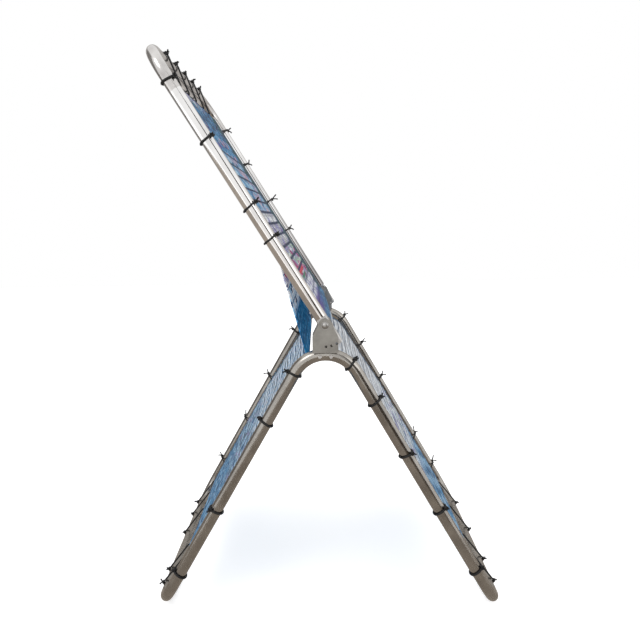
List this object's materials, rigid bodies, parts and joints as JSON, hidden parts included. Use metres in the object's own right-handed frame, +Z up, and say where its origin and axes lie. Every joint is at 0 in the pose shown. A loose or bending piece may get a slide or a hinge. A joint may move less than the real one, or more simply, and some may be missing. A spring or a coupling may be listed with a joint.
{
  "type": "loom",
  "caption": "Free-standing loom of bent steel tube: an inverted V base on bowed feet and a tilting U arm, with woven cloth laced into each frame by black cord ties.",
  "frame": {"origin": "on the floor, midway between the two feet and midway between the front and back side tubes", "axes": "+Z up, +Y from the front side tubes to the back ones along the hub's axis, +X away from the side that the arm leans to"},
  "size_m": [0.7652, 0.5724, 1.1732],
  "materials": {
    "frame_tube": "polished stainless tube with fine lengthwise grain",
    "hub_plate": "satin grey steel plate",
    "end_fitting": "turned and milled aluminium",
    "fastener": "plated steel",
    "nylon": "natural nylon",
    "woven_textile": "hand-woven rag and yarn strands, mostly blue and white",
    "selvedge_cord": "laid cord bound into the cloth's edge",
    "tie_cord": "black braided cord"
  },
  "bodies": {
    "base": {"base_side_tube_back": "frame_tube", "base_side_tube_front": "frame_tube", "foot_bow_left": "frame_tube", "foot_bow_right": "frame_tube", "foot_sleeves": "frame_tube", "foot_ties_left": "tie_cord", "foot_ties_right": "tie_cord", "hub_flap": "woven_textile", "hub_panel": "woven_textile", "hub_plate_inner_back": "hub_plate", "hub_plate_inner_front": "hub_plate", "hub_plate_outer_back": "hub_plate", "hub_plate_outer_front": "hub_plate", "hub_rivets_back": "fastener", "hub_rivets_front": "fastener", "leg_edge_cords_left": "selvedge_cord", "leg_edge_cords_right": "selvedge_cord", "leg_panel_left": "woven_textile", "leg_panel_right": "woven_textile", "leg_ties_left_back": "tie_cord", "leg_ties_left_front": "tie_cord", "leg_ties_right_back": "tie_cord", "leg_ties_right_front": "tie_cord", "pivot_bolt_back": "fastener", "pivot_bolt_front": "fastener", "pivot_nut_back": "fastener", "pivot_nut_front": "fastener", "pivot_washers_back": "fastener", "pivot_washers_front": "fastener"},
    "arm": {"arm_edge_cords": "selvedge_cord", "arm_end_fitting_back": "end_fitting", "arm_end_fitting_front": "end_fitting", "arm_panel": "woven_textile", "arm_side_tube_back": "frame_tube", "arm_side_tube_front": "frame_tube", "arm_sleeves": "frame_tube", "arm_ties_back": "tie_cord", "arm_ties_front": "tie_cord", "arm_ties_top": "tie_cord", "arm_top_bow": "frame_tube", "pivot_bush_back": "nylon", "pivot_bush_front": "nylon"}
  },
  "joints": [
    {"name": "arm_tilt", "type": "hinge", "parent": "base", "child": "arm", "pos_m": [0, 0, 0.64128], "axis": [0, 1, 0], "range_deg": [0, 30], "deforming": ["hub_flap"]}
  ]
}
